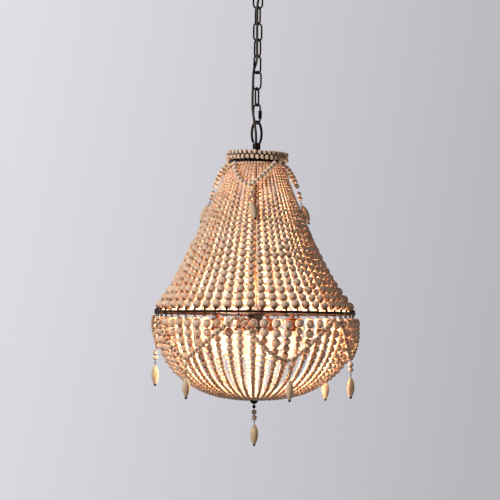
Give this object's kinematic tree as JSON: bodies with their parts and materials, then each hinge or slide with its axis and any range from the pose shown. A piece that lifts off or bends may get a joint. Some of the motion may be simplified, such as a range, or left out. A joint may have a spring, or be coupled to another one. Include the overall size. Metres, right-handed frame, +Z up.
{
  "type": "beaded chandelier",
  "caption": "Hanging chandelier with strings of pale wooden beads in a flared shade above a wide iron ring and a rounded basket below, on a chain from a ceiling canopy.",
  "frame": {"origin": "centre of the mounting bracket's upper face, which lies against the ceiling", "axes": "+Z up towards the ceiling, -Y is the pictured front, +X is to the right of the front view"},
  "size_m": [0.4236, 0.4285, 1.0001],
  "materials": {
    "black_iron": "dark blackened iron, satin",
    "bead_wood": "pale unpainted round wooden beads, matt",
    "drop_wood": "turned pale wood, lightly waxed",
    "cord_cloth": "dark brown woven cloth over a round cable",
    "lamp_glass": "lit warm white frosted glass"
  },
  "bodies": {
    "canopy": {"mounting_bracket": "black_iron", "canopy_shell": "black_iron", "canopy_collar": "black_iron", "canopy_loop": "black_iron"},
    "chain": {"chain_link_1": "black_iron", "chain_link_2": "black_iron", "chain_link_3": "black_iron", "chain_link_4": "black_iron", "chain_link_5": "black_iron", "chain_link_6": "black_iron", "chain_link_7": "black_iron", "quick_link": "black_iron", "supply_cord_upper": "cord_cloth", "supply_cord_lower": "cord_cloth"},
    "nut": {"quick_link_nut": "black_iron"},
    "fixture": {"fixture_loop": "black_iron", "fixture_collar": "black_iron", "crown_band": "black_iron", "central_stem": "black_iron", "hub_cone": "black_iron", "wide_ring": "black_iron", "hub_body": "black_iron", "lower_rod": "black_iron", "bottom_hub": "black_iron", "crown_row_lower": "bead_wood", "crown_row_upper": "bead_wood", "upper_garland": "bead_wood", "lower_garland": "bead_wood", "socket_1": "black_iron", "socket_2": "black_iron", "socket_3": "black_iron", "socket_4": "black_iron", "shade_strings_1": "bead_wood", "shade_strings_2": "bead_wood", "shade_strings_3": "bead_wood", "shade_strings_4": "bead_wood", "shade_strings_5": "bead_wood", "shade_strings_6": "bead_wood", "basket_strings_1": "bead_wood", "basket_strings_2": "bead_wood", "basket_strings_3": "bead_wood", "basket_strings_4": "bead_wood", "basket_strings_5": "bead_wood", "basket_strings_6": "bead_wood"},
    "lamp_1": {"bulb_1": "lamp_glass"},
    "lamp_2": {"bulb_2": "lamp_glass"},
    "lamp_3": {"bulb_3": "lamp_glass"},
    "lamp_4": {"bulb_4": "lamp_glass"},
    "upper_drop_1": {"upper_drop_1": "drop_wood"},
    "upper_drop_2": {"upper_drop_2": "drop_wood"},
    "upper_drop_3": {"upper_drop_3": "drop_wood"},
    "upper_drop_4": {"upper_drop_4": "drop_wood"},
    "lower_drop_1": {"lower_drop_1": "drop_wood"},
    "lower_drop_2": {"lower_drop_2": "drop_wood"},
    "lower_drop_3": {"lower_drop_3": "drop_wood"},
    "lower_drop_4": {"lower_drop_4": "drop_wood"},
    "lower_drop_5": {"lower_drop_5": "drop_wood"},
    "lower_drop_6": {"lower_drop_6": "drop_wood"},
    "bottom_drop": {"bottom_drop": "drop_wood"}
  },
  "joints": [
    {"name": "chain_swing", "type": "hinge", "parent": "canopy", "child": "chain", "pos_m": [0, 0, -0.0898], "axis": [0, 1, 0], "range_deg": [-15, 15], "deforming": ["supply_cord_upper"]},
    {"name": "nut_turn", "type": "hinge", "parent": "chain", "child": "nut", "pos_m": [0.00651, -0.00651, -0.3373], "axis": [0, 0, 1], "range_deg": [0, 1800]},
    {"name": "fixture_swing", "type": "hinge", "parent": "chain", "child": "fixture", "pos_m": [0, 0, -0.3502], "axis": [0.9063, 0.4226, 0], "range_deg": [-15, 15], "deforming": ["supply_cord_lower"]},
    {"name": "lamp_1_screw", "type": "hinge", "parent": "fixture", "child": "lamp_1", "pos_m": [0.0747, -0.02572, -0.7708], "axis": [0, 0, 1], "range_deg": [0, 900]},
    {"name": "lamp_2_screw", "type": "hinge", "parent": "fixture", "child": "lamp_2", "pos_m": [0.02572, 0.0747, -0.7708], "axis": [0, 0, 1], "range_deg": [0, 900]},
    {"name": "lamp_3_screw", "type": "hinge", "parent": "fixture", "child": "lamp_3", "pos_m": [-0.0747, 0.02572, -0.7708], "axis": [0, 0, 1], "range_deg": [0, 900]},
    {"name": "lamp_4_screw", "type": "hinge", "parent": "fixture", "child": "lamp_4", "pos_m": [-0.02572, -0.0747, -0.7708], "axis": [0, 0, 1], "range_deg": [0, 900]},
    {"name": "upper_drop_1_swing", "type": "hinge", "parent": "fixture", "child": "upper_drop_1", "pos_m": [-0.0059, -0.08444, -0.48968], "axis": [-0.9976, 0.0698, 0], "range_deg": [0, 35]},
    {"name": "upper_drop_2_swing", "type": "hinge", "parent": "fixture", "child": "upper_drop_2", "pos_m": [0.08465, 0, -0.48968], "axis": [0, -1, 0], "range_deg": [0, 35]},
    {"name": "upper_drop_3_swing", "type": "hinge", "parent": "fixture", "child": "upper_drop_3", "pos_m": [0, 0.08465, -0.48968], "axis": [1, 0, 0], "range_deg": [0, 35]},
    {"name": "upper_drop_4_swing", "type": "hinge", "parent": "fixture", "child": "upper_drop_4", "pos_m": [-0.08465, 0, -0.48968], "axis": [0, 1, 0], "range_deg": [0, 35]},
    {"name": "lower_drop_1_swing", "type": "hinge", "parent": "fixture", "child": "lower_drop_1", "pos_m": [0.06711, -0.1795, -0.83309], "axis": [-0.9367, -0.3502, 0], "range_deg": [-20, 35]},
    {"name": "lower_drop_2_swing", "type": "hinge", "parent": "fixture", "child": "lower_drop_2", "pos_m": [0.19117, -0.03028, -0.82958], "axis": [-0.1564, -0.9877, 0], "range_deg": [-20, 35]},
    {"name": "lower_drop_3_swing", "type": "hinge", "parent": "fixture", "child": "lower_drop_3", "pos_m": [0.14674, 0.11883, -0.8379], "axis": [0.6293, -0.7771, 0], "range_deg": [-20, 35]},
    {"name": "lower_drop_4_swing", "type": "hinge", "parent": "fixture", "child": "lower_drop_4", "pos_m": [-0.06696, 0.18398, -0.82519], "axis": [0.9397, 0.342, 0], "range_deg": [-20, 35]},
    {"name": "lower_drop_5_swing", "type": "hinge", "parent": "fixture", "child": "lower_drop_5", "pos_m": [-0.1998, 0.03344, -0.80938], "axis": [0.165, 0.9863, 0], "range_deg": [-20, 35]},
    {"name": "lower_drop_6_swing", "type": "hinge", "parent": "fixture", "child": "lower_drop_6", "pos_m": [-0.13168, -0.14121, -0.83046], "axis": [-0.7314, 0.682, 0], "range_deg": [-20, 35]},
    {"name": "bottom_drop_swing", "type": "hinge", "parent": "fixture", "child": "bottom_drop", "pos_m": [0, 0, -0.9253], "axis": [0, 1, 0], "range_deg": [-30, 30]}
  ]
}
